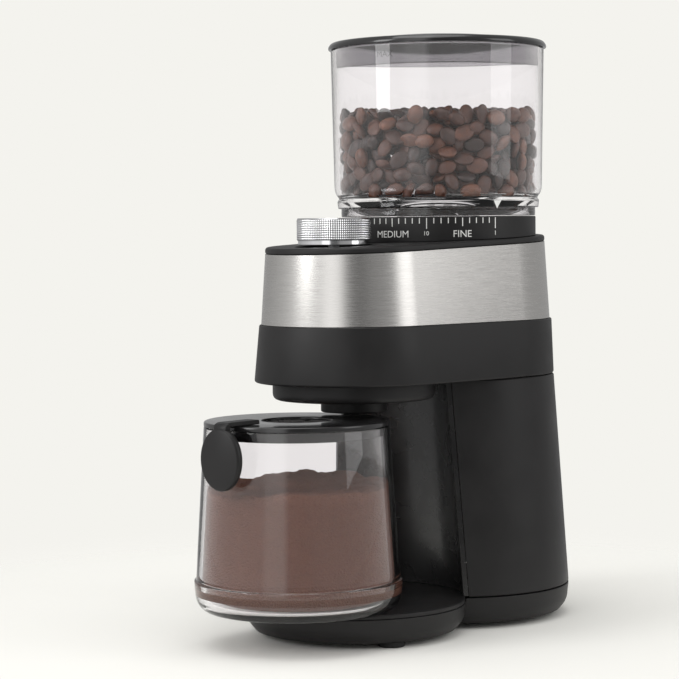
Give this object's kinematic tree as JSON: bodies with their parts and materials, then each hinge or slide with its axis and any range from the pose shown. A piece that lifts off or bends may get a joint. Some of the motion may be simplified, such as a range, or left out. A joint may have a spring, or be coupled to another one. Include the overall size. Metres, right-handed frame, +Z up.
{
  "type": "burr coffee grinder",
  "caption": "Upright conical burr coffee grinder with clear bean hopper, setting collar, steel-banded head, press-and-turn knob and a slide-out lidded glass-clear grounds jar.",
  "frame": {"origin": "centre of the bounding box at floor level, with the jar drawn forward as at rest", "axes": "+X to the right seen from the front, -Y towards the front where the jar slides out, +Z up along the hopper's axis"},
  "size_m": [0.124, 0.2424, 0.3063],
  "materials": {
    "black_plastic": "satin",
    "dark_inner_plastic": "matt",
    "brushed_steel": "brushed",
    "motor_steel": "plated",
    "chrome": "polished",
    "clear_plastic": "clear polished",
    "smoke_plastic": "smoke tinted",
    "hardened_steel": "ground",
    "bronze": "sintered",
    "nylon": "natural",
    "rubber": "matt",
    "laminated_iron": "varnished",
    "copper": "turned",
    "circuit_board": "coated"
  },
  "bodies": {
    "housing": {"rear_housing": "black_plastic", "cradle_panel": "black_plastic", "head_shell": "black_plastic", "top_cover": "black_plastic", "scale_collar": "black_plastic", "spout_shroud": "black_plastic", "outlet_spout": "black_plastic", "base_pan": "black_plastic", "jar_tray": "black_plastic", "head_bottom": "dark_inner_plastic", "grounds_chute": "dark_inner_plastic", "grinding_chamber": "dark_inner_plastic", "gearbox_housing": "dark_inner_plastic", "gearbox_cover": "dark_inner_plastic", "encoder_body": "dark_inner_plastic", "microswitch": "dark_inner_plastic", "capacitor": "dark_inner_plastic", "carbon_brush_left": "dark_inner_plastic", "carbon_brush_right": "dark_inner_plastic", "steel_band": "brushed_steel", "motor_can": "motor_steel", "motor_top_cap": "motor_steel", "motor_bottom_cap": "motor_steel", "compound_axle": "hardened_steel", "shaft_bearing_lower": "bronze", "shaft_bearing_upper": "bronze", "motor_bush_top": "bronze", "motor_bush_bottom": "bronze", "foot_front_left": "rubber", "foot_front_right": "rubber", "foot_rear_left": "rubber", "foot_rear_right": "rubber", "cord_gland": "rubber", "motor_mount_ring": "rubber", "motor_stator": "laminated_iron", "circuit_board": "circuit_board"},
    "adjuster": {"adjusting_ring": "dark_inner_plastic"},
    "hopper": {"hopper": "clear_plastic"},
    "hopper_lid": {"hopper_lid": "black_plastic", "lid_skirt": "smoke_plastic"},
    "ring_burr": {"ring_burr": "hardened_steel", "burr_carrier": "dark_inner_plastic"},
    "encoder_rotor": {"encoder_rotor": "nylon"},
    "knob": {"dial_knob": "chrome", "knob_cap": "chrome", "encoder_shaft": "hardened_steel"},
    "jar": {"jar": "clear_plastic", "jar_lid": "black_plastic", "jar_handle": "black_plastic"},
    "rotor": {"rotor_core": "laminated_iron", "commutator": "copper", "motor_shaft": "hardened_steel", "motor_pinion": "hardened_steel"},
    "compound_gear": {"compound_gear": "nylon"},
    "burr_drive": {"output_gear": "hardened_steel", "burr_shaft": "hardened_steel", "cone_burr": "hardened_steel", "burr_nut": "hardened_steel", "grounds_sweeper": "nylon"}
  },
  "joints": [
    {"name": "hopper_turn", "type": "hinge", "parent": "housing", "child": "adjuster", "pos_m": [0, 0.04828, 0.205], "axis": [0, 0, 1], "range_deg": [-123.3, 0]},
    {"name": "hopper_lift", "type": "slide", "parent": "adjuster", "child": "hopper", "axis": [0, 0, 1], "range_m": [0, 0.1]},
    {"name": "hopper_lid_lift", "type": "slide", "parent": "hopper", "child": "hopper_lid", "axis": [0, 0, 1], "range_m": [0, 0.06]},
    {"name": "ring_burr_feed", "type": "slide", "parent": "housing", "child": "ring_burr", "axis": [0, 0, 1], "range_m": [0, 0.00105]},
    {"name": "knob_turn", "type": "hinge", "parent": "housing", "child": "encoder_rotor", "pos_m": [0, -0.03602, 0.185], "axis": [0, 0, 1], "continuous": true},
    {"name": "knob_press", "type": "slide", "parent": "encoder_rotor", "child": "knob", "axis": [0, 0, -1], "range_m": [0, 0.0015], "stiffness_N_per_m": 1500, "springref_m": -0.002},
    {"name": "jar_slide", "type": "slide", "parent": "housing", "child": "jar", "axis": [0, -1, 0], "range_m": [-0.0435, 0.12]},
    {"name": "motor_spin", "type": "hinge", "parent": "housing", "child": "rotor", "pos_m": [0, 0.07628, 0.09], "axis": [0, 0, 1], "continuous": true},
    {"name": "compound_spin", "type": "hinge", "parent": "housing", "child": "compound_gear", "pos_m": [0.02425, 0.06228, 0.143], "axis": [0, 0, 1], "continuous": true},
    {"name": "burr_spin", "type": "hinge", "parent": "housing", "child": "burr_drive", "pos_m": [0, 0.04828, 0.165], "axis": [0, 0, 1], "continuous": true}
  ],
  "couplings": [
    {"joint": "ring_burr_feed", "follows": "hopper_turn", "m_per_rad": -0.00047746},
    {"joint": "compound_spin", "follows": "motor_spin", "ratio": -0.33333},
    {"joint": "burr_spin", "follows": "motor_spin", "ratio": 0.15789}
  ]
}
